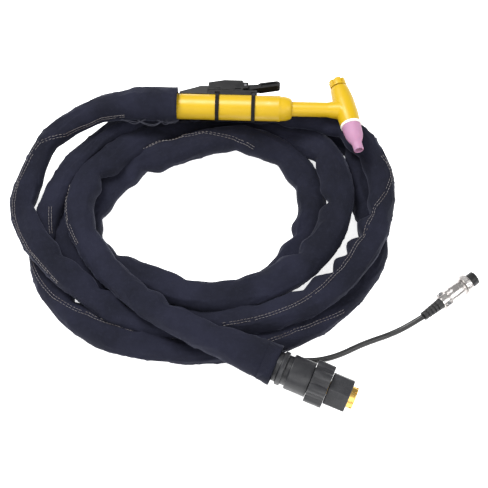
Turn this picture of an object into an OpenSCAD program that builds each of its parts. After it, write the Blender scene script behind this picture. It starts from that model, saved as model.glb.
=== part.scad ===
// TIG welding torch with its cloth-covered hose package, power and gas connector and control plug.
// Origin: where the electrode's axis crosses the handle's axis. +X runs along the handle towards the
// head, the nozzle points to -Y, +Z is up from the surface that the hose package lies on.

/* [Torch head] */
// Angle between the handle's line and the electrode's axis
head_angle = 75; // [65:1:90]
// Widest diameter of the head's insulation
head_d = 20.6; // [19:0.2:24]
// Distance from the handle's axis to the head's front face
head_front = 16.3; // [14:0.1:20]
// Distance from the handle's axis to the head's rear face
head_rear = 25; // [25:0.5:32]
// Diameter of the electrode that the collet holds
electrode_d = 2.4; // [1.6:0.1:2.4]
// Length of the back cap's body outside the head
cap_len = 9.5; // [9:0.5:40]
// Number of grip teeth round the back cap
cap_teeth = 6; // [4:1:10]
// Thickness of the nozzle's insulating gasket
gasket_t = 2.4; // [1:0.1:3]
// Length of the ceramic nozzle
nozzle_len = 27.5; // [26:0.5:40]
// Bore of the nozzle's mouth
nozzle_bore = 7.2; // [6:0.2:7.4]

/* [Handle] */
// Diameter of the neck's insulation
neck_d = 14; // [12:0.5:16]
// Outer diameter of the handle
handle_d = 24; // [24:0.5:26]
// Wall thickness of the handle
handle_wall = 2.2; // [1.5:0.1:2.6]
// Place of the handle's front end behind the head
handle_front = 51; // [45:1:55]
// Place of the handle's rear end behind the head
handle_rear = 195; // [190:1:195]
// Width of the straps that hold the switch
strap_w = 3.5; // [2:0.5:4]
// Thickness of the straps
strap_t = 1.2; // [0.8:0.1:1.5]

/* [Trigger switch] */
// Width of the switch across the handle
switch_w = 14; // [12:0.5:18]
// Height of the switch above the handle's axis
switch_top = 27; // [25:0.5:30]
// Angle that the trigger lever turns through
trigger_travel = 5.5; // [4:0.5:5.5]
// Diameter of the trigger's pivot pin
pivot_d = 2.5; // [2:0.1:3]

/* [Power and gas connector] */
// Diameter of the rear flange
flange_d = 31; // [28:0.5:33]
// Diameter of the barrel
barrel_d = 32; // [30:0.5:33]
// Diameter over the coupling nut's lobes
nut_d = 41; // [38:0.5:41]
// Number of lobes on the coupling nut
nut_lobes = 8; // [6:1:10]
// Size of the hexagonal sleeve across its corners
hex_d = 33; // [28:0.5:34]
// Outer diameter of the brass union nut
union_d = 20; // [20:0.5:22]
// Bore of the union nut's thread
thread_d = 14.5; // [13:0.1:15]

/* [Control lead] */
// Diameter of the control cable
cable_d = 5.3; // [5:0.1:6]
// Diameter of the plug's coupling ring
ring_d = 18.5; // [17:0.1:19]
// Diameter of the plug's insert
insert_d = 13; // [12:0.1:13.5]
// Number of contacts in the plug
contact_count = 5; // [2:1:5]

/* [Hidden] */
$fn = 48;

yellow = [0.96, 0.78, 0.16];
black = [0.15, 0.15, 0.16];
navy = [0.13, 0.14, 0.24];
brass = [0.85, 0.66, 0.28];
copper = [0.8, 0.48, 0.32];
silver = [0.82, 0.81, 0.8];
pink = [0.87, 0.66, 0.8];

gap = 0.05;        // running clearance on the radius
cut = 0.5;         // how far a cutting shape runs past the face that it cuts
floor_z = -52;     // the surface that the hose package lies on

// Head, along the electrode's axis, + towards the nozzle
core_r = 6;
core_bore_r = 4.1;
stem_len = 14;
cap_r = 7.5;
ring_seal_r = 0.8;
ring_seal_z = -head_rear + 1.3;
collet_r = 1.9;
collet_bore_r = electrode_d / 2 + gap;
collet_back = -24;
collet_tip = 26;
body_front = 34;
thread_r = 5;
gasket_r = 9.9;
nozzle_z = head_front + gasket_t + gap;

// Neck and handle, along -X
neck_r = neck_d / 2;
neck_tube_r = 3;
handle_r = handle_d / 2;
handle_bore_r = handle_r - handle_wall;
neck_end = handle_front + 15;
cuff_front = 159;
cuff_t = 2.2;

// Switch, in the handle's frame: x along the handle, y away from it, z across
base_y = 15.8;
half_w = switch_w / 2;
lid_z = 4.8;
housing_x = [-130.3, -97.5];
base_x = [-130.3, -84.2];
pivot = [-95.5, 21.5];
nose_drop = 3.6;
plunger_r = 1.1;
plunger_x = -98.75;
nose_x = -98.6;
strap_x = [-121.5, -87.6];

// Connector, along its own axis from the end of the cloth cover
conn_yaw = -20;
conn_tilt = 7.5;
flange_x = [4.2, 8.7];
barrel_x = 13;
nut_x = [33.5, 50];
hex_x = [50.3, 70];
hex_turn = 28;
union_x = [53, 75.5];
thread_x = 64;
clip_x = 58;
clip_r = 6.2;
clip_wire_r = 0.6;
journal_r = 12;
core_nose_r = 6;

// Plug, along its own axis from the rear of its clamp
plug_place = [88, -181, floor_z + 9.5];
plug_yaw = 41;
boot_len = 21;
ring_x = [27.6, 33.2];
plug_neck_r = 6;
plug_collar_r = 7.2;

// Route of the hose package: x, y and height of its centre above the floor
hose_route = [
    [-195, 0, 52], [-225, -3, 50], [-260, -20, 44], [-290, -53, 34], [-304, -95, 22],
    [-286, -138, 28], [-248, -175, 27], [-192, -206, 16], [-135, -213, 18], [-80, -209, 23],
    [-28, -189, 25], [15, -146, 28], [33, -95, 27], [31, -48, 26], [5, -12, 34],
    [-45, 9, 29], [-105, 15, 27], [-160, 16, 27], [-211, -2, 27], [-246, -34, 26],
    [-274, -82, 24], [-282, -132, 10], [-260, -185, 9], [-213, -223, 9], [-155, -235, 9],
    [-100, -232, 9], [-45, -215, 9], [1, -179, 9], [27, -127, 9], [20, -75, 9],
    [12, -28, 9], [-24, 12, 9], [-78, 25, 9], [-140, 25, 9], [-190, 7, 9],
    [-234, -32, 9], [-257, -80, 9], [-257, -124, 9], [-235, -160, 9], [-192, -182, 9],
    [-135, -190, 9], [-75, -170, 9], [-40, -122, 9], [-33, -70, 9], [-58, -30, 13],
    [-100, -17, 24], [-150, -32, 27], [-200, -52, 15], [-227, -85, 9], [-233, -118, 9],
    [-209, -148, 14], [-175, -170, 23], [-130, -187, 27], [-80, -178, 28], [-35, -145, 27],
    [-8, -95, 25], [-6, -57, 23], [-22, -21, 20], [-72, 0, 10], [-130, -1, 10],
    [-181, -13, 20], [-222, -45, 28], [-246, -90, 28], [-233, -140, 29], [-190, -190, 34],
    [-137, -226, 35], [-92, -244, 31], [-61, -257, 28]];
// Half width and half height of the cover: usual, then at the handle's end and at the connector's end
hose_size = [11.5, 8.5];
handle_end_sizes = [[14.2, 14.2], [13, 12], [12, 10]];
conn_end_sizes = [[12, 9], [14, 12], [17, 15]];

// Route of the control cable, in the same terms, from inside the cover to the plug's boot
cable_route = [
    [-74, -248, 22], [-64, -243, 14], [-54, -240, 8], [-43, -239, 4], [-30, -239, 3],
    [-17, -237, 3], [0, -230.5, 3], [14, -223, 3], [27, -217, 3], [40, -211.5, 3],
    [52, -206, 4.5], [62, -200.8, 7]];

hose_points = [for (p = hose_route) [p[0], p[1], floor_z + p[2]]];
hose_end = hose_points[len(hose_points) - 1];
conn_axis = [cos(conn_tilt) * cos(conn_yaw), cos(conn_tilt) * sin(conn_yaw), -sin(conn_tilt)];
plug_axis = [cos(plug_yaw), sin(plug_yaw), 0];
cable_points = concat(
    [for (p = cable_route) [p[0], p[1], floor_z + p[2]]],
    [plug_place - boot_len * plug_axis]);

function unit(v) = v / norm(v);
function last(list) = len(list) - 1;

// Half sizes of the cover's section at route point i: its ends swell over the handle and connector
function hose_section(i) =
    let (from_end = last(hose_route) - i)
    i < len(handle_end_sizes) ? handle_end_sizes[i]
    : from_end < len(conn_end_sizes) ? conn_end_sizes[last(conn_end_sizes) - from_end]
    : hose_size;

// One ring of a tube round point c, square to direction t, w and h its half sizes
function tube_ring(c, t, w, h, sides) =
    let (across = unit(cross([0, 0, 1], t)), over = cross(t, across))
    [for (k = [0 : sides - 1])
        let (a = 360 * k / sides) c + w * cos(a) * across + h * sin(a) * over];

// A closed tube along points, whose ends are square to the directions first and final
module swept(points, sizes, first, final, sides) {
    end = last(points);
    heading = [for (i = [0 : end])
        i == 0 ? first : i == end ? final : unit(points[i + 1] - points[i - 1])];
    rings = [for (i = [0 : end])
        each tube_ring(points[i], heading[i], sizes[i][0], sizes[i][1], sides)];
    walls = [for (i = [0 : end - 1], k = [0 : sides - 1])
        let (a = i * sides + k, b = i * sides + (k + 1) % sides)
        each [[a, b, a + sides], [b, b + sides, a + sides]]];
    caps = [[for (k = [sides - 1 : -1 : 0]) k], [for (k = [0 : sides - 1]) end * sides + k]];
    polyhedron(points = rings, faces = [for (f = concat(walls, caps)) [for (k = [last(f) : -1 : 0]) f[k]]]);
}

// Frames: +Z along the electrode, +Z along X, and the connector's and plug's own +X
module on_head() rotate([0, 0, -head_angle]) rotate([0, 90, 0]) children();
module along_x() rotate([0, 90, 0]) children();
module on_connector() translate(hose_end) rotate([0, conn_tilt, conn_yaw]) children();
module on_plug() translate(plug_place) rotate([0, 0, plug_yaw]) children();

// A solid turned from points of [radius, place along Z]
module turned(points) rotate_extrude() polygon(points);

// A tube along X from x0 to x1
module pipe(x0, x1, outer, inner) {
    translate([x0, 0, 0]) along_x() difference() {
        cylinder(h = x1 - x0, r = outer);
        translate([0, 0, -cut]) cylinder(h = x1 - x0 + 2 * cut, r = inner);
    }
}

// A rod along X from x0 to x1
module rod(x0, x1, r) translate([x0, 0, 0]) along_x() cylinder(h = x1 - x0, r = r);

// An outline in the x, y plane made into a plate from z0 to z1
module plate(points, z0, z1) translate([0, 0, z0]) linear_extrude(z1 - z0) polygon(points);

// ---- Torch head ----

module head_shell() color(yellow) difference() {
    union() {
        on_head() turned([
            [0, -head_rear], [cap_r + 0.9, -head_rear], [cap_r + 1.6, -head_rear + 4],
            [head_d / 2, -9], [head_d / 2, 5], [gasket_r - 0.4, head_front], [0, head_front]]);
        rod(-neck_end, -4, neck_r);
        translate([-18, 0, 0]) along_x() cylinder(h = 14, r1 = neck_r, r2 = neck_r + 2.6);
    }
    on_head() translate([0, 0, -head_rear - cut])
        cylinder(h = head_rear + head_front + 2 * cut, r = core_r);
    rod(-neck_end - cut, -2, neck_tube_r);
}

module head_core() color(brass) on_head() turned([
    [core_bore_r, -head_rear + 3], [core_r, -head_rear + 3],
    [core_r, head_front - 1.3], [core_bore_r, head_front - 1.3]]);

module neck_tube() color(copper) difference() {
    pipe(-handle_front - 45, -2, neck_tube_r, 2);
    on_head() translate([0, 0, -head_rear]) cylinder(h = 2 * head_rear, r = core_r);
}

module back_cap() color(yellow) on_head() {
    collar_r = 5;
    groove_r = 4.3;
    groove = [ring_seal_z - ring_seal_r - 0.15, ring_seal_z + ring_seal_r + 0.15];
    stem_bore_r = 2.2;
    top = -head_rear - cap_len;
    skirt_len = cap_len - 2.5;
    turned([
        [stem_bore_r, top + 3], [0, top + 3], [0, top], [cap_r - 2, top], [cap_r - 1.2, top + 0.8],
        [cap_r - 1.2, -head_rear - gap], [collar_r, -head_rear - gap], [collar_r, groove[0]],
        [groove_r, groove[0]], [groove_r, groove[1]], [collar_r, groove[1]],
        [collar_r, -head_rear + 2.7], [core_bore_r - gap, -head_rear + 2.7],
        [core_bore_r - gap, -head_rear + stem_len], [stem_bore_r, -head_rear + stem_len]]);
    translate([0, 0, top + 0.8]) difference() {
        cylinder(h = skirt_len, r = cap_r + 0.5);
        translate([0, 0, -cut]) cylinder(h = skirt_len + 2 * cut, r = cap_r - 1.6);
        for (i = [0 : cap_teeth - 1]) rotate(360 * (i + 0.5) / cap_teeth)
            translate([cap_r - 1, -1.3, -cut]) cube([3, 2.6, skirt_len - 1.2 + cut]);
    }
}

module cap_o_ring() color(black) on_head() translate([0, 0, ring_seal_z])
    rotate_extrude() translate([5.15, 0]) circle(r = ring_seal_r - 0.01);

module collet() color(copper) on_head() difference() {
    turned([
        [collet_bore_r, collet_back], [collet_r, collet_back], [collet_r, collet_tip - 1.5],
        [collet_r - 0.5, collet_tip], [collet_bore_r, collet_tip]]);
    for (a = [0, 90]) rotate(a) translate([-3, -0.15, 10]) cube([6, 0.3, 20]);
}

module collet_body() color(copper) on_head() difference() {
    turned([
        [collet_r + 0.1, -8], [core_bore_r - gap, -8], [core_bore_r - gap, head_front - 1.25],
        [core_r - 0.4, head_front - 1.25], [core_r - 0.4, head_front - 0.1],
        [thread_r, head_front - 0.1], [thread_r, 25], [3.9, 25.6], [3.9, body_front - 0.8],
        [3.1, body_front], [1.6, body_front], [1.6, 30], [collet_r + 0.1, 28]]);
    for (a = [0, 90]) rotate(a) translate([-6, 0, 28]) rotate([0, 90, 0]) cylinder(h = 12, r = 0.75);
}

module nozzle_gasket() color("ivory") on_head() turned([
    [thread_r + 0.3, head_front + gap], [gasket_r, head_front + gap],
    [gasket_r, nozzle_z - gap], [thread_r + 0.3, nozzle_z - gap]]);

module nozzle() color(pink) on_head() translate([0, 0, nozzle_z]) turned([
    [thread_r + gap, 0], [9, 0], [9, 3], [8.3, 10.8], [7, 15], [5.2, 18.8], [4.7, 20],
    [4.6, nozzle_len - 0.5], [4.2, nozzle_len], [nozzle_bore / 2, nozzle_len],
    [nozzle_bore / 2, nozzle_len - 7.8], [thread_r + gap, 11]]);

// ---- Handle ----

module handle() color(yellow) {
    ridge = handle_front + 12;
    nose = [for (a = [0 : 15 : 90])
        [neck_r + 0.6 + (handle_r - neck_r - 0.9) * cos(a), -ridge + 1.5 + 10.5 * sin(a)]];
    along_x() turned(concat(
        [[neck_r, -neck_end - 2], [handle_bore_r, -neck_end - 4], [handle_bore_r, -handle_rear],
         [handle_r, -handle_rear], [handle_r, -ridge - 1.5], [handle_r + 0.3, -ridge - 0.8],
         [handle_r + 0.3, -ridge]],
        nose, [[neck_r, -handle_front]]));
}

module hose_union() color(brass) {
    nut = -handle_front - 47;
    difference() {
        union() {
            rod(nut - 28, nut + 6, 4);
            translate([nut - 12, 0, 0]) along_x() cylinder(h = 12, r = 8.5, $fn = 6);
        }
        rod(nut, nut + 6 + cut, neck_tube_r);
        rod(nut - 28 - cut, nut + cut, 2);
    }
}

module hose_front() color(black) pipe(-handle_rear, -handle_front - 60, 8.5, 4);

// Loop of a strap round the handle and the switch's base, grown by grow
module strap_loop(width, grow) {
    rotate([90, 0, 90]) translate([0, 0, -width / 2]) linear_extrude(width) difference() {
        hull() {
            circle(r = handle_r + 0.1 + strap_t + grow);
            translate([base_y - strap_t - 0.3, -4.6]) square([strap_t + grow, 9.2]);
        }
        hull() {
            circle(r = handle_r + 0.1 - grow);
            translate([base_y - 2 * strap_t - 0.3, -4]) square([strap_t - grow, 8]);
        }
    }
}

module strap_rear() color(black) translate([strap_x[0], 0, 0]) strap_loop(strap_w, 0);
module strap_front() color(black) translate([strap_x[1], 0, 0]) strap_loop(strap_w, 0);

// ---- Trigger switch ----

module switch_base() color(black) difference() {
    translate([base_x[0], 8, -half_w + 0.5])
        cube([base_x[1] - base_x[0], base_y - 8, switch_w - 1]);
    rod(base_x[0] - cut, base_x[1] + cut, handle_r + 0.1);
    for (x = strap_x) translate([x, 0, 0]) strap_loop(strap_w + 0.4, 0.2);
}

// Side outline that the housing and its cover share, with the ear that carries the pivot
housing_outline = [
    [housing_x[0], base_y + gap], [housing_x[0], 24], [housing_x[0] + 15, switch_top],
    [housing_x[1] - 1, switch_top], [housing_x[1], switch_top - 1], [housing_x[1], 24.6],
    [pivot[0] + 3, 24.6], [pivot[0] + 3, 18.6], [housing_x[1], 17.4], [housing_x[1], base_y + gap]];

module housing_half(z0, z1) difference() {
    plate(housing_outline, z0, z1);
    translate([pivot[0], pivot[1], z0 - cut]) cylinder(h = z1 - z0 + 2 * cut, r = pivot_d / 2);
}

module switch_housing() color(black) difference() {
    housing_half(-half_w, lid_z);
    translate([-125, 16.5, -4.8]) cube([24, 7, 10]);
    translate([-101 - cut, 16.5, -4.8]) cube([10, 9, 10]);
}

module switch_cover() color(black) difference() {
    housing_half(lid_z, half_w);
    translate([-122.5, 16.8, half_w - 1]) cube([4, 1.2, 2]);
    translate([-105, 16.8, half_w - 1]) cube([6, 1.2, 2]);
}

module microswitch() color([0.25, 0.25, 0.27]) difference() {
    translate([-124, 16.6, -4.6]) cube([20.6, 6.2, 9.2]);
    translate([0, pivot[1] - nose_drop, 0]) rod(-108, -103, plunger_r + gap);
}

module switch_plunger() color("firebrick") translate([0, pivot[1] - nose_drop, 0])
    rod(-106.5, plunger_x, plunger_r);

module trigger() color(black) {
    arm_w = 3.9;
    pad_w = arm_w + 0.7;
    rise = 15 * tan(2 * trigger_travel);
    difference() {
        union() {
            translate([pivot[0], pivot[1], -arm_w]) cylinder(h = 2 * arm_w, r = 2.8);
            plate([
                [nose_x, 19.2], [nose_x, 16.9], [-96.6, 16.9], [-94.4, 18.9],
                [-92, 17.9], [-82, 20.4], [-82, 24.8], [-93, 23.8], [-96.5, 22]], -arm_w, arm_w);
            plate(concat(
                [[-83, 20.3], [-81, 20], [-66, 20 + rise]],
                [for (a = [-75 : 30 : 75]) [-66 + 3.6 * cos(a), 22.8 + rise + 2.8 * sin(a)]],
                [[-66, 25.6 + rise], [-81, 26], [-83, 25]]), -pad_w, pad_w);
        }
        translate([pivot[0], pivot[1], -arm_w - cut]) cylinder(h = 8 + 2 * cut, r = pivot_d / 2 + gap);
        for (z = [-pad_w - cut, pad_w - 1.6]) plate([
            [-80.4, 21.3], [-67, 21.3 + rise], [-64.6, 22.8 + rise], [-67, 24.3 + rise],
            [-80.4, 24.7]], z, z + 1.6 + cut);
    }
}

module pivot_pin() color(silver) translate([pivot[0], pivot[1], -half_w])
    cylinder(h = switch_w, r = pivot_d / 2);

module switch_tail() color(black) plate([
    [housing_x[0], 12.6], [housing_x[0], 22.2], [-138.5, 21.9], [-140.5, 20.8], [-157.5, 15],
    [-157.5, 12.7], [-137, 12.6]], -4, 4);

module switch_wire() color(black) translate([0, 14.3, 0]) rod(-cuff_front, -157.5, 1.2);

// ---- Hose package ----

module cover_cuff() color(navy) pipe(-handle_rear, -cuff_front, handle_r + cuff_t, handle_r);

module hose_cover() color(navy) swept(
    hose_points, [for (i = [0 : last(hose_points)]) hose_section(i)], [-1, 0, 0], conn_axis, 12);

// ---- Power and gas connector ----

module conn_flange() color(black) on_connector() along_x() turned([
    [8, 0], [flange_d / 2 - 2, 0], [flange_d / 2 - 2, flange_x[0]], [flange_d / 2, flange_x[0]],
    [flange_d / 2, flange_x[1]], [8, flange_x[1]]]);

module conn_barrel() color(black) on_connector() along_x() turned([
    [9.1, flange_x[1]], [flange_d / 2 - 2, flange_x[1]], [flange_d / 2 - 2, barrel_x],
    [barrel_d / 2 - 0.8, barrel_x], [barrel_d / 2, barrel_x + 0.8], [barrel_d / 2, nut_x[0] - 0.4],
    [journal_r, nut_x[0] - 0.4], [journal_r, hex_x[0] - 0.3], [core_nose_r, hex_x[0] - 0.3],
    [core_nose_r, 30.6], [9.1, 28.6]]);

module coupling_nut() color(black) on_connector() translate([nut_x[0], 0, 0]) along_x() {
    lobe_r = 5.4;
    linear_extrude(nut_x[1] - nut_x[0]) difference() {
        union() {
            circle(r = nut_d / 2 - 2.6);
            for (i = [0 : nut_lobes - 1]) rotate(360 * i / nut_lobes)
                translate([nut_d / 2 - lobe_r, 0]) circle(r = lobe_r);
        }
        circle(r = journal_r + gap);
    }
}

module hex_sleeve() color(black) on_connector() translate([hex_x[0], 0, 0]) along_x() difference() {
    rotate(hex_turn) cylinder(h = hex_x[1] - hex_x[0], r = hex_d / 2, $fn = 6);
    translate([0, 0, -cut]) cylinder(h = hex_x[1] - hex_x[0] + 2 * cut, r = union_d / 2);
}

module union_nut() color(brass) on_connector() along_x() difference() {
    clip_groove_r = clip_r + clip_wire_r + gap;
    clip_groove = [clip_x - clip_wire_r - 0.1, clip_x + clip_wire_r + 0.1];
    turned([
        [core_nose_r + gap, union_x[0]], [union_d / 2, union_x[0]], [union_d / 2, union_x[1] - 0.6],
        [union_d / 2 - 0.6, union_x[1]], [thread_d / 2, union_x[1]], [thread_d / 2, thread_x],
        [core_nose_r + gap, thread_x], [core_nose_r + gap, clip_groove[1]],
        [clip_groove_r, clip_groove[1]], [clip_groove_r, clip_groove[0]],
        [core_nose_r + gap, clip_groove[0]]]);
    for (i = [0 : 7]) rotate(45 * i)
        translate([8.8, -1.2, union_x[1] - 2.2]) cube([4, 2.4, 4]);
}

module union_clip() color(silver) on_connector() translate([clip_x, 0, 0]) along_x()
    rotate_extrude() translate([clip_r, 0]) circle(r = clip_wire_r);

module contact_core() color(brass) on_connector() along_x() {
    hose_bore_r = 3.5;
    seal = [thread_x - 2.5, thread_x - 1.5];
    turned([
        [hose_bore_r, 10], [5.9, 10], [5.9, 26], [core_nose_r, 28],
        [core_nose_r, clip_x - clip_wire_r], [clip_r - clip_wire_r, clip_x - clip_wire_r],
        [clip_r - clip_wire_r, clip_x + clip_wire_r], [core_nose_r, clip_x + clip_wire_r],
        [core_nose_r, seal[0]], [5.1, seal[0]], [5.1, seal[1]], [core_nose_r, seal[1]],
        [core_nose_r, thread_x - 1], [5, thread_x], [hose_bore_r, thread_x]]);
    for (x = [12 : 4 : 24]) translate([0, 0, x]) turned([[5.8, 0], [6.5, 0], [5.8, 2]]);
}

module core_o_ring() color(black) on_connector() translate([thread_x - 2, 0, 0]) along_x()
    rotate_extrude() translate([5.55, 0]) circle(r = 0.43);

module hose_ferrule() color(silver) on_connector() pipe(9, 27, 9, 8);

module hose_rear() color(black) on_connector() pipe(0, 27, 8, 5.9);

// ---- Control lead ----

module control_cable() color(black) swept(
    cable_points, [for (p = cable_points) [cable_d / 2, cable_d / 2]],
    unit(cable_points[1] - cable_points[0]), plug_axis, 10);

module plug_boot() color(black) on_plug() translate([-boot_len, 0, 0]) along_x() difference() {
    cylinder(h = boot_len, r1 = cable_d / 2 + 1.4, r2 = 5.1);
    for (z = [4 : 3.8 : 17]) translate([0, 0, z]) rotate_extrude()
        translate([cable_d / 2 + 0.1 + z * 0.05, -0.7]) square([4, 1.4]);
}

module plug_clamp() color(silver) on_plug() difference() {
    union() {
        pipe(0, 9, 6.2, 4.4);
        for (side = [-1, 1]) translate([1, side * 6 - 1.6, -3]) cube([7, 3.2, 6]);
    }
    for (side = [-1, 1]) translate([4.5, side * 6.2, 0]) {
        translate([0, 0, -4]) cylinder(h = 8, r = 0.9);
        translate([0, 0, 3]) cylinder(h = 4, r = 1.8);
    }
    rod(-cut, 9 + cut, 4.4);
}

module clamp_screws() color(silver) on_plug() for (side = [-1, 1]) translate([4.5, side * 6.2, 0]) {
    translate([0, 0, -3]) cylinder(h = 6, r = 0.9);
    translate([0, 0, 3]) cylinder(h = 1.2, r = 1.6);
}

module plug_shell() color(silver) on_plug() along_x() turned([
    [5.6, 9], [7, 9], [7, 13], [7.6, 13.6], [7.6, 24], [6.9, 24.6], [6.9, ring_x[0] - 0.3],
    [plug_neck_r, ring_x[0] - 0.3], [plug_neck_r, 12], [5.6, 12]]);

module plug_ring() color(silver) on_plug() along_x() difference() {
    turned([
        [plug_neck_r + gap, ring_x[0]], [ring_d / 2, ring_x[0]], [ring_d / 2, ring_x[1]],
        [plug_collar_r + 0.3, ring_x[1]], [plug_collar_r + 0.3, ring_x[0] + 2],
        [plug_neck_r + gap, ring_x[0] + 2]]);
    for (i = [0 : 23]) rotate(15 * i)
        translate([ring_d / 2 + 0.35, 0, ring_x[0] + 1]) cylinder(h = 3.6, r = 0.7);
}

module plug_insert() color(black) on_plug() difference() {
    union() {
        rod(14, ring_x[1], plug_neck_r);
        rod(ring_x[0] + 2.4, ring_x[0] + 3.6, plug_collar_r);
        rod(ring_x[1], 42, insert_d / 2);
    }
    for (i = [0 : contact_count - 1]) rotate([360 * i / contact_count, 0, 0])
        translate([0, 0, 3.6]) rod(20, 42 + cut, 1.1);
}

module plug_contacts() color(brass) on_plug()
    for (i = [0 : contact_count - 1]) rotate([360 * i / contact_count, 0, 0])
        translate([0, 0, 3.6]) difference() {
            rod(20, 41.4, 1.1);
            rod(34, 41.4 + cut, 0.6);
        }

head_shell();
head_core();
neck_tube();
back_cap();
cap_o_ring();
collet();
collet_body();
nozzle_gasket();
nozzle();
handle();
hose_union();
hose_front();
strap_rear();
strap_front();
switch_base();
switch_housing();
switch_cover();
microswitch();
switch_plunger();
trigger();
pivot_pin();
switch_tail();
switch_wire();
cover_cuff();
hose_cover();
conn_flange();
conn_barrel();
coupling_nut();
hex_sleeve();
union_nut();
union_clip();
contact_core();
core_o_ring();
hose_ferrule();
hose_rear();
control_cable();
plug_boot();
plug_clamp();
clamp_screws();
plug_shell();
plug_ring();
plug_insert();
plug_contacts();
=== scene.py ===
"""Looks of the TIG torch: camera, cords, cloth cover, finishes and light, for the CAD frame.

Lengths are in metres in the frame's own axes: +X along the handle towards the head, +Z up.
"""
import math

import bpy
import numpy as np
from mathutils import Matrix, Vector, noise


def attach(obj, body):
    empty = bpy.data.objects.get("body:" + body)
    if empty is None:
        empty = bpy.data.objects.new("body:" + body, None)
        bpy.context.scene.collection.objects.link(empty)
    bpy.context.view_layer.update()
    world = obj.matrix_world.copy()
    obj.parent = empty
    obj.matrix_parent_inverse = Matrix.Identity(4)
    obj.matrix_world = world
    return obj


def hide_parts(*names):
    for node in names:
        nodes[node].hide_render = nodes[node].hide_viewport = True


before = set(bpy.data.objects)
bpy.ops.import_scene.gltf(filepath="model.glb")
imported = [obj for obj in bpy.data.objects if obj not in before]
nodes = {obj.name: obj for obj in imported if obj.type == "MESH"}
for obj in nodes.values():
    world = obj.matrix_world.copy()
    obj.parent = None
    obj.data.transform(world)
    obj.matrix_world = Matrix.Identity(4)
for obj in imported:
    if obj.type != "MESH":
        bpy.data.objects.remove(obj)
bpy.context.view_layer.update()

MM = 0.001
FLOOR = -0.052
SEED = 11

# Camera: where it aims, how far off it stands, and its two angles
AIM = Vector((-0.0925, -0.1308, -0.030))
CAMERA_DISTANCE = 1.6
CAMERA_AZIMUTH = math.radians(1.6)
CAMERA_ELEVATION = math.radians(60)
CAMERA_LENS = 128.3
SENSOR_WIDTH = 36
VIEW_DEPTH = 20

# Route of the hose package: x, y and height above the floor of its centre, in millimetres
HOSE_ROUTE = [
    (-195, 0, 52), (-225, -3, 50), (-260, -20, 44), (-290, -53, 34), (-304, -95, 22),
    (-286, -138, 28), (-248, -175, 27), (-192, -206, 16), (-135, -213, 18), (-80, -209, 23),
    (-28, -189, 25), (15, -146, 28), (33, -95, 27), (31, -48, 26), (5, -12, 34),
    (-45, 9, 29), (-105, 15, 27), (-160, 16, 27), (-211, -2, 27), (-246, -34, 26),
    (-274, -82, 24), (-282, -132, 10), (-260, -185, 9), (-213, -223, 9), (-155, -235, 9),
    (-100, -232, 9), (-45, -215, 9), (1, -179, 9), (27, -127, 9), (20, -75, 9),
    (12, -28, 9), (-24, 12, 9), (-78, 25, 9), (-140, 25, 9), (-190, 7, 9),
    (-234, -32, 9), (-257, -80, 9), (-257, -124, 9), (-235, -160, 9), (-192, -182, 9),
    (-135, -190, 9), (-75, -170, 9), (-40, -122, 9), (-33, -70, 9), (-58, -30, 13),
    (-100, -17, 24), (-150, -32, 27), (-200, -52, 15), (-227, -85, 9), (-233, -118, 9),
    (-209, -148, 14), (-175, -170, 23), (-130, -187, 27), (-80, -178, 28), (-35, -145, 27),
    (-8, -95, 25), (-6, -57, 23), (-22, -21, 20), (-72, 0, 10), (-130, -1, 10),
    (-181, -13, 20), (-222, -45, 28), (-246, -90, 28), (-233, -140, 29), (-190, -190, 34),
    (-137, -226, 35), (-92, -244, 31), (-61, -257, 28),
]
CUFF_ROUTE = [(-159, 0, 52), (-177, 0, 52)]
CABLE_ROUTE = [
    (-74, -248, 22), (-64, -243, 14), (-54, -240, 8), (-43, -239, 4), (-30, -239, 3),
    (-17, -237, 3), (0, -230.5, 3), (14, -223, 3), (27, -217, 3), (40, -211.5, 3),
    (52, -206, 4.5), (62, -200.8, 7),
]
CONNECTOR_TILT = math.radians(7.5)      # downwards
CONNECTOR_YAW = math.radians(20)        # towards -Y
PLUG_PLACE = (88, -181, 9.5)
PLUG_YAW = math.radians(41)
BOOT_LENGTH = 21
CABLE_DIAMETER = 0.0053
COVER_WIDTH = 0.028


def placed(route):
    """A route in millimetres above the floor, as points in the frame."""
    return [Vector((x * MM, y * MM, FLOOR + h * MM)) for x, y, h in route]


SPLINE_STEPS = 12       # fine steps per route point, before the line is spaced evenly


def spline(points, spacing):
    """A smooth line through points, as evenly spaced samples and the distance of each along it."""
    p = np.array([tuple(q) for q in points])
    n = len(p)
    knots = np.concatenate([[0], np.cumsum(np.linalg.norm(np.diff(p, axis=0), axis=1))])
    gaps = np.diff(knots)
    system = np.eye(n)
    right = np.zeros((n, 3))
    for i in range(1, n - 1):
        system[i, i - 1:i + 2] = gaps[i - 1], 2 * (gaps[i - 1] + gaps[i]), gaps[i]
        right[i] = 6 * ((p[i + 1] - p[i]) / gaps[i] - (p[i] - p[i - 1]) / gaps[i - 1])
    bend = np.linalg.solve(system, right)
    t = np.linspace(0, knots[-1], SPLINE_STEPS * n)
    k = np.clip(np.searchsorted(knots, t, side="right") - 1, 0, n - 2)
    g = gaps[k][:, None]
    a = (knots[k + 1] - t)[:, None]
    b = (t - knots[k])[:, None]
    line = (
        bend[k] * a**3 / (6 * g) + bend[k + 1] * b**3 / (6 * g)
        + (p[k] / g - bend[k] * g / 6) * a + (p[k + 1] / g - bend[k + 1] * g / 6) * b
    )
    along = np.concatenate([[0], np.cumsum(np.linalg.norm(np.diff(line, axis=0), axis=1))])
    place = np.linspace(0, along[-1], int(along[-1] / spacing) + 1)
    even = np.stack([np.interp(place, along, line[:, i]) for i in range(3)], axis=1)
    return even, place, np.interp(knots, t, along)


def unit_rows(v):
    return v / np.linalg.norm(v, axis=-1, keepdims=True)


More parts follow.
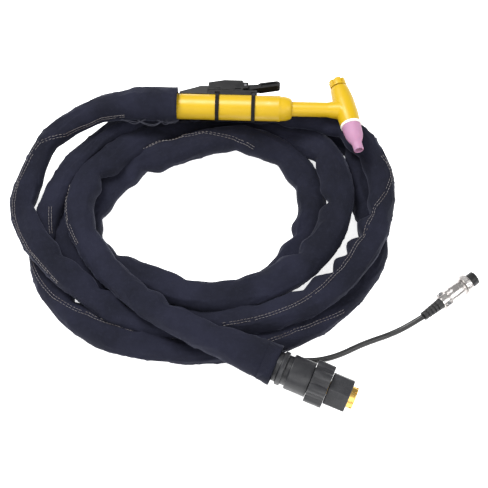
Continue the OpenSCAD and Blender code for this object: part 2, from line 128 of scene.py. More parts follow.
def frames_along(line, last=None):
    """Heading, sideways (left) and upward unit vectors at each sample of a line."""
    heading = unit_rows(np.gradient(line, axis=0))
    if last is not None:
        heading[-1] = last
    across = unit_rows(np.cross((0, 0, 1), heading))
    return heading, across, np.cross(heading, across)


def add_mesh(name, vertices, faces, uv=None):
    """A smooth-shaded mesh object, with uv one pair per vertex when it is given."""
    mesh = bpy.data.meshes.new(name)
    mesh.from_pydata([tuple(v) for v in vertices], [], faces)
    mesh.update()
    for face in mesh.polygons:
        face.use_smooth = True
    if uv is not None:
        layer = mesh.uv_layers.new(name="UVMap")
        corners = np.empty(len(mesh.loops), int)
        mesh.loops.foreach_get("vertex_index", corners)
        layer.data.foreach_set("uv", np.asarray(uv, float)[corners].ravel())
    made = bpy.data.objects.new(name, mesh)
    bpy.context.scene.collection.objects.link(made)
    return made


def tube_faces(rings, sides):
    """Faces of a closed tube whose vertices go ring by ring."""
    faces = [
        (i * sides + k, i * sides + (k + 1) % sides,
         (i + 1) * sides + (k + 1) % sides, (i + 1) * sides + k)
        for i in range(rings - 1) for k in range(sides)
    ]
    faces.append(tuple(range(sides))[::-1])
    faces.append(tuple(range((rings - 1) * sides, rings * sides)))
    return faces


# ---- Camera ----

def make_camera():
    """The one camera, in front of the torch and above it."""
    sin_a, cos_a = math.sin(CAMERA_AZIMUTH), math.cos(CAMERA_AZIMUTH)
    sin_e, cos_e = math.sin(CAMERA_ELEVATION), math.cos(CAMERA_ELEVATION)
    forward = Vector((-cos_e * sin_a, cos_e * cos_a, -sin_e))
    right = Vector((cos_a, sin_a, 0))
    up = right.cross(forward)
    data = bpy.data.cameras.new("camera")
    data.lens = CAMERA_LENS
    data.sensor_width = SENSOR_WIDTH
    data.clip_end = VIEW_DEPTH
    camera = bpy.data.objects.new("camera", data)
    bpy.context.scene.collection.objects.link(camera)
    turn = Matrix((right, up, -forward)).transposed().to_4x4()
    camera.matrix_world = Matrix.Translation(AIM - CAMERA_DISTANCE * forward) @ turn
    bpy.context.scene.camera = camera


make_camera()

# ---- Cloth cover ----

RING_SPACING = 0.003
SIDES = 60
HALF_WIDTH = 0.0124
HALF_HEIGHT = 0.0084
MOUTH_WIDTH = 0.0190        # half width and height of the sleeve's end over the connector
MOUTH_HEIGHT = 0.0135
MOUTH_ROUND = 0.6           # how much of an ellipse that end is
GRIP_RADIUS = 0.0133        # radius of the sleeve on the handle, and how much its hem adds to it
CUFF_BULGE = 0.0030
CUFF_SHIFT = (-0.0016, 0.0012)      # how far the bulge leans, sideways and up
CORE = (0.0108, 0.0086)     # half width and height of the stiff middle of the hose package
CLEARANCE = 0.0004          # from the floor
WING_SAG = 0.0012

cover_route = placed(CUFF_ROUTE) + placed(HOSE_ROUTE)
CONNECTOR_AXIS = np.array((
    math.cos(CONNECTOR_TILT) * math.cos(CONNECTOR_YAW),
    -math.cos(CONNECTOR_TILT) * math.sin(CONNECTOR_YAW),
    -math.sin(CONNECTOR_TILT),
))
cover_line, cover_place, cover_knots = spline(cover_route, RING_SPACING)
heading, across, over = frames_along(cover_line, CONNECTOR_AXIS)
RINGS = len(cover_line)
first_knot = len(CUFF_ROUTE)
angle = np.linspace(0, 2 * math.pi, SIDES, endpoint=False)


def at_route(index):
    """Distance along the cover of a point of HOSE_ROUTE, which may lie between two."""
    return np.interp(index + first_knot, np.arange(len(cover_knots)), cover_knots)


def along_route(pairs):
    """A value that runs smoothly between (route index, value) pairs, at every ring."""
    return np.interp(cover_place, [at_route(i) for i, _ in pairs], [v for _, v in pairs])


def smoothed(values, width):
    """A running average over width rings, with the ends held."""
    kernel = np.hanning(width + 2)[1:-1]
    kernel /= kernel.sum()
    padded = np.pad(values, width // 2, mode="edge")
    return np.convolve(padded, kernel, mode="same")[width // 2:-(width // 2)]


def curvature():
    """How fast the cover turns to the left, in radians per metre, at each ring."""
    turn = np.unwrap(np.arctan2(heading[:, 1], heading[:, 0]))
    return smoothed(np.gradient(turn, cover_place), 15)


def noise_field(scale_along, scale_round, offset):
    """Smooth noise over the cover's rings and sides, about -1 to 1, that closes round each ring."""
    radius = 1 / scale_round
    field = np.empty((RINGS, SIDES))
    for i in range(RINGS):
        for k in range(SIDES):
            p = Vector((
                cover_place[i] / scale_along + offset,
                radius * math.cos(angle[k]), radius * math.sin(angle[k])))
            field[i, k] = noise.noise(p)
    return field


FOLDED_PART = (1.2, 66)             # route indices between which the sleeve folds
FOLD_GAPS = (0.020, 0.078)
FOLD_SKEW = 1.3
SHARP_BEND = 10                     # turning in radians per metre that folds the sleeve fully


def cover_folds(bend):
    """Cross folds that the inside of each bend gathers into: the place, depth and skew of each."""
    rng = np.random.default_rng(SEED)
    folds = []
    place = at_route(FOLDED_PART[0])
    while place < at_route(FOLDED_PART[1]):
        turn = np.interp(place, cover_place, bend)
        depth = min(1, 0.25 + abs(turn) / SHARP_BEND) * (0.25 + 1.3 * rng.random() ** 1.5)
        folds.append((place, depth, rng.uniform(-FOLD_SKEW, FOLD_SKEW)))
        place += rng.uniform(*FOLD_GAPS)
    return folds


# How much wider than usual the sleeve lies, and how far it hangs to the left of the hose in
# millimetres, both as (route index, value)
SLEEVE_WIDTHS = [
    (0, 1.0), (1.2, 0.9), (2.7, 0.84), (3.4, 1.0), (9, 1.05), (10, 1.15), (11.5, 1.12),
    (12.5, 1.0), (17.6, 1.0), (18.4, 0.86), (19.2, 0.88), (20, 1.0), (21, 1.0), (23, 1.12),
    (24.5, 1.12), (27, 1.0), (34, 1.0), (37, 1.1), (41, 1.16), (43, 1.08), (47, 1.08),
    (49, 1.05), (51, 1.12), (54, 1.2), (55, 1.15), (58, 1.12), (60, 1.18), (62, 1.1), (64, 1.0),
    (67, 1.0)]
SLEEVE_DRIFT = [
    (0, 0), (2, -1.5), (2.7, -1.5), (3.4, 4.5), (4.6, 5), (6, 1), (8, 0), (9.5, 2), (11, 2.5),
    (12.3, 0), (17.5, 0), (18.2, 4.5), (19.2, 5.2), (20.5, 4.5), (21.5, 1), (23, 2.5),
    (24.5, 2.5), (26, 0), (42.2, 0), (43.1, -2.5), (44, -3), (45, 0), (46.3, -2), (47.3, -5),
    (50, -5), (51, -1), (53, -2), (54.3, -3), (55.5, 1.5), (56.5, 3.5), (58.3, 2.5), (59.5, 1),
    (60.8, 1.5), (61.6, 0), (67, 0)]

# How firmly the sleeve holds to the round of the handle, of the connector and of its own hem
GRIP = [(-2, 1), (0.2, 1), (1.4, 0.35), (3, 0), (67, 0)]
MOUTH = [(0, 0), (65.0, 0), (67, 1)]
HEM = [(-2, 1), (0.12, 0.7), (0.45, 0.05), (1, 0), (67, 0)]

# A fold's crease and the swelling beside it: how deep, how wide, and how far the swelling lies off
CREASE_DEPTH = (0.0060, 0.0042)         # into the sleeve's edge, and down from its top
CREASE_WIDTH = 0.0075
PUFF_HEIGHT = (0.0022, 0.0015)
PUFF_OFFSET = 0.014
PUFF_WIDTH = 0.008
FOLD_SLANT = 0.012


def wrinkles(height, *scales):
    """Soft wrinkles; scales are those of noise_field."""
    return height * noise_field(*scales)


def ridges(height, sharpness, *scales):
    """Sharp-backed wrinkles; scales are those of noise_field."""
    ridged = 1 - np.abs(noise_field(*scales)) * sharpness
    return height * np.clip(ridged, 0, 1) ** 3


def build_cover():
    """The sleeve's surface as rings of points."""
    bend = curvature()
    u = np.cos(angle)[None, :]
    v = np.sin(angle)[None, :]
    side = np.sign(bend)[:, None]

    # Where the cover grips the handle it is round; elsewhere it is a flattened sleeve
    grip = along_route(GRIP)[:, None]
    grip = grip * grip * (3 - 2 * grip)
    mouth = along_route(MOUTH)[:, None]
    half_width = HALF_WIDTH * (1 + wrinkles(0.06, 0.09, 9, 3.1)[:, :1])
    half_width = half_width * along_route(SLEEVE_WIDTHS)[:, None]
    half_width = half_width * (1 - mouth) + MOUTH_WIDTH * mouth
    height = HALF_HEIGHT * (1 - mouth) + MOUTH_HEIGHT * mouth
    wing = np.abs(u)
    crown = 0.70 * (1 - wing**2.8) ** 0.62 + 0.30 * np.sqrt(np.clip(1 - u**8, 0, 1))
    lens = np.sign(v) * crown * height
    cuff = along_route(HEM)[:, None]
    round_r = GRIP_RADIUS + CUFF_BULGE * cuff
    x = half_width * u * (1 - grip) + (round_r * u + CUFF_SHIFT[0] * cuff) * grip
    x = x + along_route(SLEEVE_DRIFT)[:, None] * MM
    z = (lens * (1 - mouth * MOUTH_ROUND) + height * v * mouth * MOUTH_ROUND) * (1 - grip)
    z = z + (round_r * v + CUFF_SHIFT[1] * cuff) * grip

    # Loose wings of the sleeve hang, and the bend gathers its inner edge into folds
    loose = 1 - grip
    z = z - WING_SAG * wing**3 * loose * (1 - mouth)
    inner = np.clip(u * side, 0, 1)
    outer = np.clip(-u * side, 0, 1)
    gather = np.zeros((RINGS, SIDES))
    puff = np.zeros((RINGS, SIDES))
    for place, depth, skew in cover_folds(bend):
        from_fold = cover_place[:, None] - place - skew * FOLD_SLANT * (1 - inner)
        gather += depth * np.exp(-np.abs(from_fold / CREASE_WIDTH) ** 1.15)
        puff += depth * np.exp(-((np.abs(from_fold) - PUFF_OFFSET) / PUFF_WIDTH) ** 2)
    x = x - side * inner**2 * (CREASE_DEPTH[0] * gather - PUFF_HEIGHT[0] * puff) * loose
    relief = (-CREASE_DEPTH[1] * gather * inner**0.7 + PUFF_HEIGHT[1] * puff * inner) * loose

    # Long wrinkles along the sleeve, short ones across it, fine ones, then creases of two sizes
    relief += wrinkles(0.0014, 0.075, 1.5, 11.0) * (1 - 0.5 * grip)
    relief += wrinkles(0.0010, 0.028, 1.1, 23.0)
    relief += wrinkles(0.0002, 0.009, 0.6, 31.0)
    relief += ridges(0.0024, 3, 0.048, 1.2, 47.0) * (0.5 + 0.5 * inner) * (1 - 0.4 * grip)
    relief += ridges(0.0010, 4, 0.019, 0.8, 83.0)
    x = x + np.sign(u) * wrinkles(0.0016, 0.035, 9, 71.0)[:, :1] * loose * inner
    z = z + np.sign(v) * np.abs(v) ** 0.5 * relief
    x = x + np.sign(u) * outer**2 * relief * 0.9

    co = (
        cover_line[:, None, :] + x[:, :, None] * across[:, None, :]
        + z[:, :, None] * over[:, None, :])
    co = part_strands(co, grip)
    co[:, :, 2] = np.maximum(co[:, :, 2], FLOOR + CLEARANCE)
    return co


NEIGHBOUR_REACH = 0.036     # stretches whose middles lie nearer than this can meet
OWN_RINGS = 26              # rings to each side that belong to the same stretch
STACKED_RISE = 0.009        # stretches whose levels differ by more lie on each other
PUSH = 1.25
PUSH_PASSES = 2
HELD = 0.9                  # a ring that the handle grips more firmly than this stays


def part_strands(co, grip):
    """Presses the sleeve's wings off the stiff middle of whatever other turn they would lie in."""
    for _ in range(PUSH_PASSES):
        shift = np.zeros_like(co)
        for i in range(RINGS):
            apart = np.abs(np.arange(RINGS) - i) > OWN_RINGS
            distance = np.linalg.norm(cover_line[:, :2] - cover_line[i, :2], axis=1)
            others = np.nonzero(apart & (distance < NEIGHBOUR_REACH))[0]
            if len(others) == 0 or grip[i, 0] > HELD:
                continue
            gap = co[i][:, None, :] - cover_line[others][None, :, :]
            nearest = np.argmin(np.linalg.norm(gap, axis=2), axis=1)
            ring = others[nearest]
            offset = gap[np.arange(SIDES), nearest]
            w = np.einsum("ij,ij->i", offset, across[ring]) / CORE[0]
            h = np.einsum("ij,ij->i", offset, over[ring]) / CORE[1]
            depth = np.hypot(w, h)
            inside = (depth < 1) & (depth > 0.05)
            level = cover_line[i, 2] - cover_line[ring, 2]
            stacked = np.abs(level) > STACKED_RISE
            rise = np.sign(level) * np.sqrt(np.clip(1 - w**2, 0, 1)) - h
            spread = np.sign(w) * np.sqrt(np.clip(1 - h**2, 0, 1)) - w
            lift = np.where(inside & stacked, rise * CORE[1], 0)
            aside = np.where(inside & ~stacked, spread * CORE[0], 0)
            shift[i] = lift[:, None] * over[ring] + aside[:, None] * across[ring]
        for axis, wide in ((0, 3), (1, 2)):
            shift = sum(np.roll(shift, k, axis) for k in range(-wide, wide + 1)) / (2 * wide + 1)
        co = co + shift * PUSH
    return co


def surface_normals(co):
    """Outward normal at every vertex of the ring-by-ring surface."""
    round_way = np.roll(co, -1, 1) - np.roll(co, 1, 1)
    long_way = np.gradient(co, axis=0)
    return unit_rows(np.cross(round_way, long_way))


def hem(ring, inward, back, depth):
    """Two rings that turn a cut edge inwards, by a part of its size, and then back inside."""
    centre = ring.mean(axis=0)
    inside = centre + (ring - centre) * (1 - inward)
    return inside, inside + back * depth


def make_cover():
    """The cover as one piece, with both ends hemmed."""
    co = build_cover()
    start = hem(co[0], 0.06, heading[0], 0.006)
    end = hem(co[-1], 0.07, -heading[-1], 0.012)
    rings = np.concatenate([[start[1]], [start[0]], co, [end[0]], [end[1]]])
    count = len(rings)
    girth = 2 * COVER_WIDTH
    uv = [
        ((i - len(start)) * RING_SPACING, girth * (0.5 - abs(k / SIDES - 0.5)))
        for i in range(count) for k in range(SIDES)
    ]
    cover = add_mesh("cloth_cover", rings.reshape(-1, 3), tube_faces(count, SIDES), uv)
    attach(cover, "torch")
    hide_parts("hose_cover", "cover_cuff")
    return cover, co


cover, cover_surface = make_cover()

# Where the sleeve's seam shows: (route index, angle round the sleeve) with 0 at its left edge in
# the route's direction and 90 on top
SEAM_RUNS = [
    [(0.5, 10), (1.6, 14), (2.2, 30), (2.7, 104), (3.2, 116), (4.2, 134), (4.8, 148), (5.9, 160)],
    [(21.3, 144), (22.0, 118), (22.6, 72), (23.2, 48), (23.7, 42), (24.0, 42)],
    [(61.7, 164), (62.5, 152), (62.9, 146)],
    [(20.3, 80), (20.8, 50)],
    [(44.7, 40), (45.3, 78), (45.6, 120), (46.3, 142), (46.7, 134), (47.3, 128)],
    [(8.5, 118), (9.6, 102), (10.1, 86), (10.9, 66), (11.9, 64), (12.5, 118), (12.8, 146),
     (13.2, 120)],
    [(25.5, 110), (26.0, 100), (26.4, 112), (26.8, 138)],
]
STITCH_PITCH = 0.0031
STITCH_LENGTH = 0.0028
STITCH_WIDTH = 0.00020      # half of it
STITCH_LIFT = 0.00012
STITCH_BACK = 0.0003        # how high a stitch's back stands, and how deep its underside lies
STITCH_BELLY = 0.0002
# Sections of a stitch: place along its half length, relative size and height
STITCH_SHAPE = ((-1, 0.35, -0.0001), (-0.55, 1, 0.00025), (0.55, 1, 0.00025), (1, 0.35, -0.0001))
MISSED_STITCHES = 0.03      # share of stitches that are worn away
LOOK_AHEAD = 0.002
ROW_GAP = 0.0024


def make_stitching():
    """Two rows of separate stitches along each stretch of seam that lies on the upper side."""
    normals = surface_normals(cover_surface)
    rng = np.random.default_rng(SEED + 1)
    vertices, faces = [], []

    def surface_at(place, turn):
        i = np.clip(place / RING_SPACING, 0, RINGS - 1.001)
        k = (turn / 360 * SIDES) % SIDES
        i0, k0 = int(i), int(k)
        past_i, past_k = i - i0, k - k0
        k1 = (k0 + 1) % SIDES

        def between(grid):
            return (
                (grid[i0, k0] * (1 - past_k) + grid[i0, k1] * past_k) * (1 - past_i)
                + (grid[i0 + 1, k0] * (1 - past_k) + grid[i0 + 1, k1] * past_k) * past_i)

        return Vector(between(cover_surface)), Vector(between(normals)).normalized()

    for run in SEAM_RUNS:
        places = [at_route(i) for i, _ in run]
        turns = [a for _, a in run]
        place = places[0]
        while place < places[-1]:
            turn = float(np.interp(place, places, turns))
            ahead = float(np.interp(place + LOOK_AHEAD, places, turns))
            centre, up = surface_at(place, turn)
            beyond, _ = surface_at(place + LOOK_AHEAD, ahead)
            way = (beyond - centre).normalized()
            aside = up.cross(way).normalized()
            for row in (-0.5, 0.5):
                if rng.random() < MISSED_STITCHES:
                    continue
                middle = centre + aside * row * ROW_GAP + up * STITCH_LIFT
                half = way * STITCH_LENGTH / 2 * rng.uniform(0.8, 1.1)
                wide = aside * STITCH_WIDTH
                base = len(vertices)
                for end, size, lift in STITCH_SHAPE:
                    c = middle + half * end + up * lift
                    vertices.extend([
                        c + wide * size, c + up * STITCH_BACK * size,
                        c - wide * size, c - up * STITCH_BELLY * size])
                faces.extend(
                    (base + 4 * i + k, base + 4 * i + (k + 1) % 4,
                     base + 4 * (i + 1) + (k + 1) % 4, base + 4 * (i + 1) + k)
                    for i in range(3) for k in range(4))
                faces.append((base + 3, base + 2, base + 1, base))
                faces.append((base + 12, base + 13, base + 14, base + 15))
            place += STITCH_PITCH
    stitching = add_mesh("cover_stitching", vertices, faces)
    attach(stitching, "torch")
    return stitching


stitching = make_stitching()

# Each arc's two places along the handle and how far it hangs, in millimetres
THREAD_ARCS = [(-212, -188, 3.0), (-196, -172, 4.5), (-178, -160, 3.5), (-170, -157, 2.0)]
THREAD_RADIUS = 0.00040
THREAD_START = (-14.2, -2)      # Y and Z where the threads leave the cuff, in millimetres


def make_threads():
    """Frayed threads that hang from the cuff's lower edge, each an arc between two points."""
    rng = np.random.default_rng(SEED + 2)
    vertices, faces = [], []
    sides, steps = 6, 14
    for start, end, drop in THREAD_ARCS:
        for _ in range(2):
            t = np.linspace(0, 1, steps)
            sag = drop * (1 + rng.uniform(-0.3, 0.3)) * np.sin(math.pi * t)
            wave = 0.5 * np.sin(t * rng.uniform(6, 11) + rng.uniform(0, 6))
            line = np.stack([
                start + (end - start) * t, THREAD_START[0] - sag + wave,
                THREAD_START[1] - 0.5 * sag + wave], axis=1) * MM
            _, side, top = frames_along(line)
            ring = np.linspace(0, 2 * math.pi, sides, endpoint=False)
            co = (
                line[:, None, :] + THREAD_RADIUS * np.cos(ring)[None, :, None] * side[:, None, :]
                + THREAD_RADIUS * np.sin(ring)[None, :, None] * top[:, None, :])
            base = len(vertices)
            vertices.extend(co.reshape(-1, 3))
            faces.extend(tuple(base + k for k in face) for face in tube_faces(steps, sides))
    threads = add_mesh("cuff_threads", vertices, faces)
    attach(threads, "torch")
    return threads


threads = make_threads()

# ---- Control cable ----

CABLE_SPACING = 0.0015
CABLE_SIDES = 20


def make_cable():
    """The black lead from inside the cover's end to the plug's boot."""
    turn = np.array((math.cos(PLUG_YAW), math.sin(PLUG_YAW), 0))
    end = np.array(placed([PLUG_PLACE])[0]) - turn * BOOT_LENGTH * MM
    line, place, _ = spline(placed(CABLE_ROUTE) + [Vector(end)], CABLE_SPACING)
    line[:, 2] = np.maximum(line[:, 2], FLOOR + CABLE_DIAMETER / 2)
    _, side, top = frames_along(line, turn)
    sides = CABLE_SIDES
    a = np.linspace(0, 2 * math.pi, sides, endpoint=False)
    r = CABLE_DIAMETER / 2
    co = (
        line[:, None, :] + r * np.cos(a)[None, :, None] * side[:, None, :]
        + r * np.sin(a)[None, :, None] * top[:, None, :])
    uv = [(place[i], r * a[k]) for i in range(len(line)) for k in range(sides)]
    cable = add_mesh("control_lead", co.reshape(-1, 3), tube_faces(len(line), sides), uv)
    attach(cable, "torch")
    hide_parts("control_cable")
    return cable, line, place


cable, cable_line, cable_place = make_cable()


# ---- Finishes ----

class Finish:
    """A material with a Principled shader and short ways to wire its nodes."""

    def __init__(self, name, color, roughness, metallic=0.0, **sockets):
        self.material = bpy.data.materials.new(name)
        self.material.use_nodes = True
        self.tree = self.material.node_tree
        self.shader = self.tree.nodes["Principled BSDF"]
        self.base = (*color, 1)
        self.shader.inputs["Base Color"].default_value = self.base
        self.shader.inputs["Roughness"].default_value = roughness
        self.shader.inputs["Metallic"].default_value = metallic
        for socket, value in sockets.items():
            self.shader.inputs[socket.replace("_", " ")].default_value = value
        self.height = None

    def node(self, kind, **values):
        made = self.tree.nodes.new(kind)
        for key, value in values.items():
            if key in made.inputs:
                made.inputs[key].default_value = value
            else:
                setattr(made, key, value)
        return made

    def link(self, source, target):
        self.tree.links.new(source, target)

    def where(self, uv=False):
        return self.node("ShaderNodeTexCoord").outputs["UV" if uv else "Object"]

    def noise(self, scale, detail=4.0, roughness=0.55):
        texture = self.node("ShaderNodeTexNoise", Scale=scale, Detail=detail, Roughness=roughness)
        self.link(self.where(), texture.inputs["Vector"])
        return texture.outputs["Fac"]

    def ramp(self, source, low, high, out_low, out_high):
        made = self.node("ShaderNodeMapRange")
        made.inputs["From Min"].default_value = low
        made.inputs["From Max"].default_value = high
        made.inputs["To Min"].default_value = out_low
        made.inputs["To Max"].default_value = out_high
        self.link(source, made.inputs["Value"])
        return made.outputs["Result"]

    def tint(self, amount, color):
        """Mixes color over what the base colour holds so far, by the output amount."""
        mix = self.node("ShaderNodeMix", data_type="RGBA")
        socket = self.shader.inputs["Base Color"]
        mix.inputs[6].default_value = self.base
        mix.inputs[7].default_value = (*color, 1)
        self.link(amount, mix.inputs[0])
        if socket.is_linked:
            self.link(socket.links[0].from_socket, mix.inputs[6])
        self.link(mix.outputs[2], socket)

    def rough(self, source, low, high):
        self.link(self.ramp(source, 0.3, 0.7, low, high), self.shader.inputs["Roughness"])

    def bump(self, source, distance, strength=1.0):
        made = self.node("ShaderNodeBump", Strength=strength, Distance=distance)
        self.link(source, made.inputs["Height"])
        if self.height:
            self.link(self.height, made.inputs["Normal"])
        self.height = made.outputs["Normal"]
        self.link(self.height, self.shader.inputs["Normal"])

    def edge_wear_and_highlight(self, color, amount=0.5):
        """Lightens convex edges: partly wear from handling, partly a painted highlight where the
        edges catch the light.
        """
        geometry = self.node("ShaderNodeNewGeometry")
        edge = self.ramp(geometry.outputs["Pointiness"], 0.52, 0.60, 0.0, amount)
        broken = self.ramp(self.noise(900), 0.4, 0.6, 0.3, 1.0)
        both = self.node("ShaderNodeMath", operation="MULTIPLY")
        self.link(edge, both.inputs[0])
        self.link(broken, both.inputs[1])
        self.tint(both.outputs[0], color)


def cloth_finish():
    finish = Finish(
        "navy_twill", (0.0021, 0.0025, 0.0074), 0.9, Sheen_Weight=0.10, Sheen_Roughness=0.4)
    finish.shader.inputs["Sheen Tint"].default_value = (0.50, 0.54, 0.78, 1)
    finish.shader.inputs["Specular IOR Level"].default_value = 0.22
    faded = finish.ramp(finish.noise(18, 5, 0.6), 0.38, 0.62, 0.0, 0.9)
    finish.tint(faded, (0.0086, 0.0092, 0.0205))
    lint = finish.ramp(finish.noise(300, 4, 0.75), 0.52, 0.8, 0.0, 0.4)
    finish.tint(lint, (0.019, 0.021, 0.036))
    weave = finish.node("ShaderNodeTexWave", Scale=820.0, Distortion=0.4)
    weave.bands_direction = "DIAGONAL"
    finish.link(finish.where(uv=True), weave.inputs["Vector"])
    finish.tint(finish.ramp(weave.outputs["Fac"], 0.3, 1.0, 0.0, 0.22), (0.018, 0.020, 0.036))
    finish.bump(weave.outputs["Fac"], 0.00006, 0.6)
    finish.bump(finish.noise(380, 5, 0.7), 0.00022, 0.6)
    finish.bump(finish.noise(55, 4, 0.6), 0.0012, 0.55)
    return finish.material


def thread_finish():
    finish = Finish("stitch_thread", (0.19, 0.175, 0.175), 0.85, Sheen_Weight=0.2)
    finish.tint(finish.ramp(finish.noise(70, 3), 0.45, 0.65, 0.0, 0.8), (0.105, 0.080, 0.070))
    finish.bump(finish.noise(2500, 2), 0.0001, 0.6)
    return finish.material


def yellow_finish():
    finish = Finish(
        "yellow_phenolic", (0.50, 0.318, 0.004), 0.46, Coat_Weight=0.08, Coat_Roughness=0.25)
    finish.shader.inputs["Specular IOR Level"].default_value = 0.32
    finish.tint(finish.ramp(finish.noise(40, 5), 0.4, 0.75, 0.0, 0.45), (0.43, 0.268, 0.004))
    finish.tint(finish.ramp(finish.noise(700, 3), 0.6, 0.8, 0.0, 0.25), (0.56, 0.37, 0.02))
    # Lighter edges: partly wear, partly a painted highlight where the edges catch the light.
    finish.edge_wear_and_highlight((0.74, 0.54, 0.14), 0.4)
    finish.rough(finish.noise(90, 4), 0.34, 0.50)
    finish.bump(finish.noise(900, 4, 0.6), 0.00006, 0.5)
    return finish.material


def plain_finish(
        name, color, roughness, grain, depth, metallic=0.0, second=None, edge_wear_and_highlight_color=None, **sockets):
    """Moulded or turned surface: two tones, uneven gloss, fine grain, and edges lightened partly by
    wear and partly by a painted highlight.
    """
    finish = Finish(name, color, roughness, metallic, **sockets)
    second = second or tuple(min(1.0, c * 1.5) for c in color)
    finish.tint(finish.ramp(finish.noise(60, 5), 0.4, 0.75, 0.0, 0.5), second)
    # Edge colour, when given: partly wear, partly a painted highlight on convex edges.
    if edge_wear_and_highlight_color:
        finish.edge_wear_and_highlight(edge_wear_and_highlight_color, 0.6)
    finish.rough(finish.noise(160, 4), max(0.05, roughness - 0.08), min(1.0, roughness + 0.1))
    finish.bump(finish.noise(grain, 3), depth, 0.6)
    return finish.material


def paint(material, *names):
    for name in names:
        piece = nodes.get(name) or bpy.data.objects[name]
        piece.data.materials.clear()
        piece.data.materials.append(material)


def paint_all():
    cover.data.materials.append(cloth_finish())
    stitching.data.materials.append(thread_finish())
    threads.data.materials.append(
        plain_finish("navy_thread", (0.020, 0.021, 0.032), 0.9, 900, 0.00005))
    paint(yellow_finish(), "head_shell", "back_cap", "handle")
    paint(
        plain_finish(
            "pink_alumina", (0.355, 0.173, 0.283), 0.66, 1400, 0.00006,
            second=(0.41, 0.22, 0.335), Subsurface_Weight=0.08, Subsurface_Scale=0.004),
        "nozzle")
    paint(plain_finish("cream_ptfe", (0.80, 0.76, 0.66), 0.5, 1200, 0.00003), "nozzle_gasket")
    # The edge colour below lightens convex edges: partly wear, partly a painted highlight.
    paint(
        plain_finish(
            "turned_brass", (0.66, 0.42, 0.11), 0.24, 2400, 0.00003, metallic=1.0,
            second=(0.74, 0.50, 0.16), edge_wear_and_highlight_color=(0.88, 0.70, 0.34)),
        "head_core", "hose_union", "union_nut", "contact_core", "plug_contacts")
    paint(
        plain_finish("turned_copper", (0.80, 0.42, 0.27), 0.3, 2400, 0.00003, metallic=1.0),
        "neck_tube", "collet", "collet_body")
    # The edge colour below lightens convex edges: partly wear, partly a painted highlight.
    paint(
        plain_finish(
            "nickel_plate", (0.54, 0.515, 0.505), 0.26, 1800, 0.00003, metallic=1.0,
            second=(0.68, 0.655, 0.63), edge_wear_and_highlight_color=(0.90, 0.89, 0.86)),
        "plug_clamp", "plug_shell", "plug_ring")
    paint(
        plain_finish("plated_steel", (0.30, 0.30, 0.31), 0.30, 2200, 0.00003, metallic=1.0),
        "pivot_pin", "clamp_screws", "union_clip", "hose_ferrule")
    # The edge colour below lightens convex edges: partly wear, partly a painted highlight.
    paint(
        plain_finish(
            "switch_plastic", (0.007, 0.007, 0.0075), 0.40, 1100, 0.00010,
            second=(0.012, 0.012, 0.0125), edge_wear_and_highlight_color=(0.05, 0.05, 0.052), Specular_IOR_Level=0.32),
        "switch_base", "switch_housing", "switch_cover", "trigger", "plug_insert")
    paint(
        plain_finish("switch_thermoset", (0.05, 0.05, 0.055), 0.4, 1400, 0.00003),
        "microswitch")
    paint(plain_finish("plunger_red", (0.45, 0.04, 0.03), 0.35, 1400, 0.00003), "switch_plunger")
    # The edge colour below lightens convex edges: partly wear, partly a painted highlight.
    paint(
        plain_finish(
            "connector_plastic", (0.0135, 0.0137, 0.0160), 0.36, 900, 0.00012,
            second=(0.019, 0.0193, 0.022), edge_wear_and_highlight_color=(0.09, 0.092, 0.10), Specular_IOR_Level=0.36),
        "conn_flange", "conn_barrel", "coupling_nut", "hex_sleeve")
    paint(
        plain_finish("black_rubber", (0.006, 0.006, 0.0065), 0.50, 1000, 0.00010),
        "cap_o_ring", "core_o_ring", "hose_front", "hose_rear", "plug_boot", "switch_tail")
    paint(
        plain_finish(
            "elastic_band", (0.0022, 0.0020, 0.0022), 0.65, 1600, 0.00012,
            Specular_IOR_Level=0.22),
        "strap_rear", "strap_front")
    sheath = plain_finish("cable_sheath", (0.008, 0.008, 0.0085), 0.36, 700, 0.00008)
    paint(sheath, "switch_wire")
    cable.data.materials.append(sheath)


paint_all()

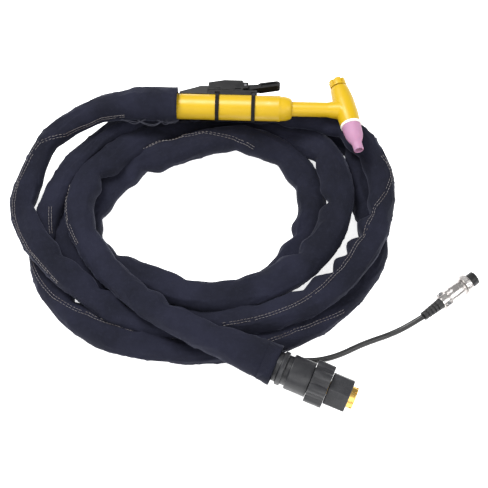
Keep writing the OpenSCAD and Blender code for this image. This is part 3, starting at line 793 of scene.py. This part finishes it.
# Widths in millimetres of the rounded edges of moulded and turned pieces
EDGE_WIDTHS = {
    "switch_base": 0.5, "switch_housing": 0.7, "switch_cover": 0.5, "trigger": 0.6,
    "back_cap": 0.25, "conn_flange": 0.9, "conn_barrel": 0.4, "coupling_nut": 1.9,
    "hex_sleeve": 0.8, "union_nut": 0.35, "plug_clamp": 0.35, "plug_shell": 0.3,
    "plug_ring": 0.25, "plug_insert": 0.3, "nozzle": 0.3, "nozzle_gasket": 0.3, "handle": 0.3,
    "strap_rear": 0.3, "strap_front": 0.3, "plug_boot": 0.25, "switch_tail": 0.8,
    "clamp_screws": 0.25, "head_shell": 0.3,
}
WELD_DISTANCE = 1e-5
SHARP_ANGLE = math.radians(28)


def soften_edges():
    """Rounds sharp edges with modifiers, so that the pieces keep their CAD meshes."""
    for name, width in EDGE_WIDTHS.items():
        weld = nodes[name].modifiers.new("joined", "WELD")
        weld.merge_threshold = WELD_DISTANCE
        bevel = nodes[name].modifiers.new("edges", "BEVEL")
        bevel.width = width * MM
        bevel.segments = 3
        bevel.limit_method = "ANGLE"
        bevel.angle_limit = SHARP_ANGLE


soften_edges()

# ---- Floor and light ----

FLOOR_HALF = 6
FLOOR_GLOW = 0.80
SKY = 0.42


def make_floor():
    corners = [(x * FLOOR_HALF, y * FLOOR_HALF, FLOOR)
               for x, y in ((-1, -1), (1, -1), (1, 1), (-1, 1))]
    floor = add_mesh("floor", corners, [(0, 1, 2, 3)])
    finish = Finish("floor_white", (0.93, 0.93, 0.93), 0.9)
    finish.shader.inputs["Emission Color"].default_value = (1, 1, 1, 1)
    finish.shader.inputs["Emission Strength"].default_value = FLOOR_GLOW
    floor.data.materials.append(finish.material)


def make_light(name, place, size, power, aim=(-0.1, -0.1, -0.03)):
    data = bpy.data.lights.new(name, "AREA")
    data.size = size
    data.energy = power
    lamp = bpy.data.objects.new(name, data)
    bpy.context.scene.collection.objects.link(lamp)
    lamp.location = place
    lamp.rotation_euler = (Vector(aim) - Vector(place)).to_track_quat("-Z", "Y").to_euler()


def make_studio():
    make_floor()
    world = bpy.data.worlds.new("studio")
    bpy.context.scene.world = world
    world.use_nodes = True
    world.node_tree.nodes["Background"].inputs["Color"].default_value = (1, 1, 1, 1)
    world.node_tree.nodes["Background"].inputs["Strength"].default_value = SKY
    make_light("key", (-0.75, 0.35, 1.4), 0.7, 33)
    make_light("fill", (1.0, -0.7, 1.1), 1.0, 12)
    make_light("front", (-0.1, -1.5, 1.0), 1.4, 16)
    bpy.context.scene.view_settings.view_transform = "Standard"


make_studio()
